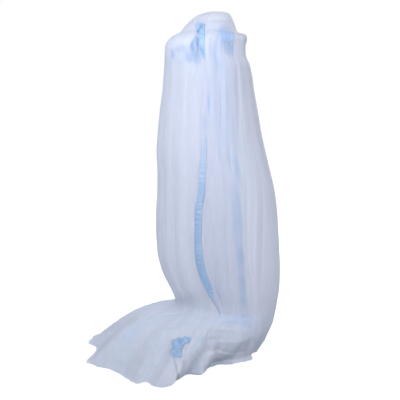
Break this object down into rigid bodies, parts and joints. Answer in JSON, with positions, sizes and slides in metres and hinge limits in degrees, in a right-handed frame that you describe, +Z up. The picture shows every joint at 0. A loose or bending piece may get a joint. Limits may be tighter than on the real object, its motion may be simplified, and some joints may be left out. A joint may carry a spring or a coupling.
{
  "type": "mosquito net canopy hung on a round hoop",
  "caption": "Long sheer mosquito net with a domed top over a hidden hoop, a lapped doorway bound in blue ribbon and a train on the floor.",
  "frame": {"origin": "the hang point: the middle of the dome's crown, on its upper side, 1.36 m above the floor", "axes": "+Z up along the hang, -Y out of the doorway's front, -X towards the train on the floor"},
  "size_m": [0.7987, 0.6984, 1.36],
  "materials": {
    "net_mesh": "sheer soft polyester net",
    "blue_ribbon": "satin ribbon",
    "hoop_wire": "white coated wire"
  },
  "bodies": {
    "root": {"net": "net_mesh", "door_binding_outer": "blue_ribbon", "door_binding_inner": "blue_ribbon", "hoop_tape": "blue_ribbon", "hoop": "hoop_wire"}
  },
  "joints": []
}
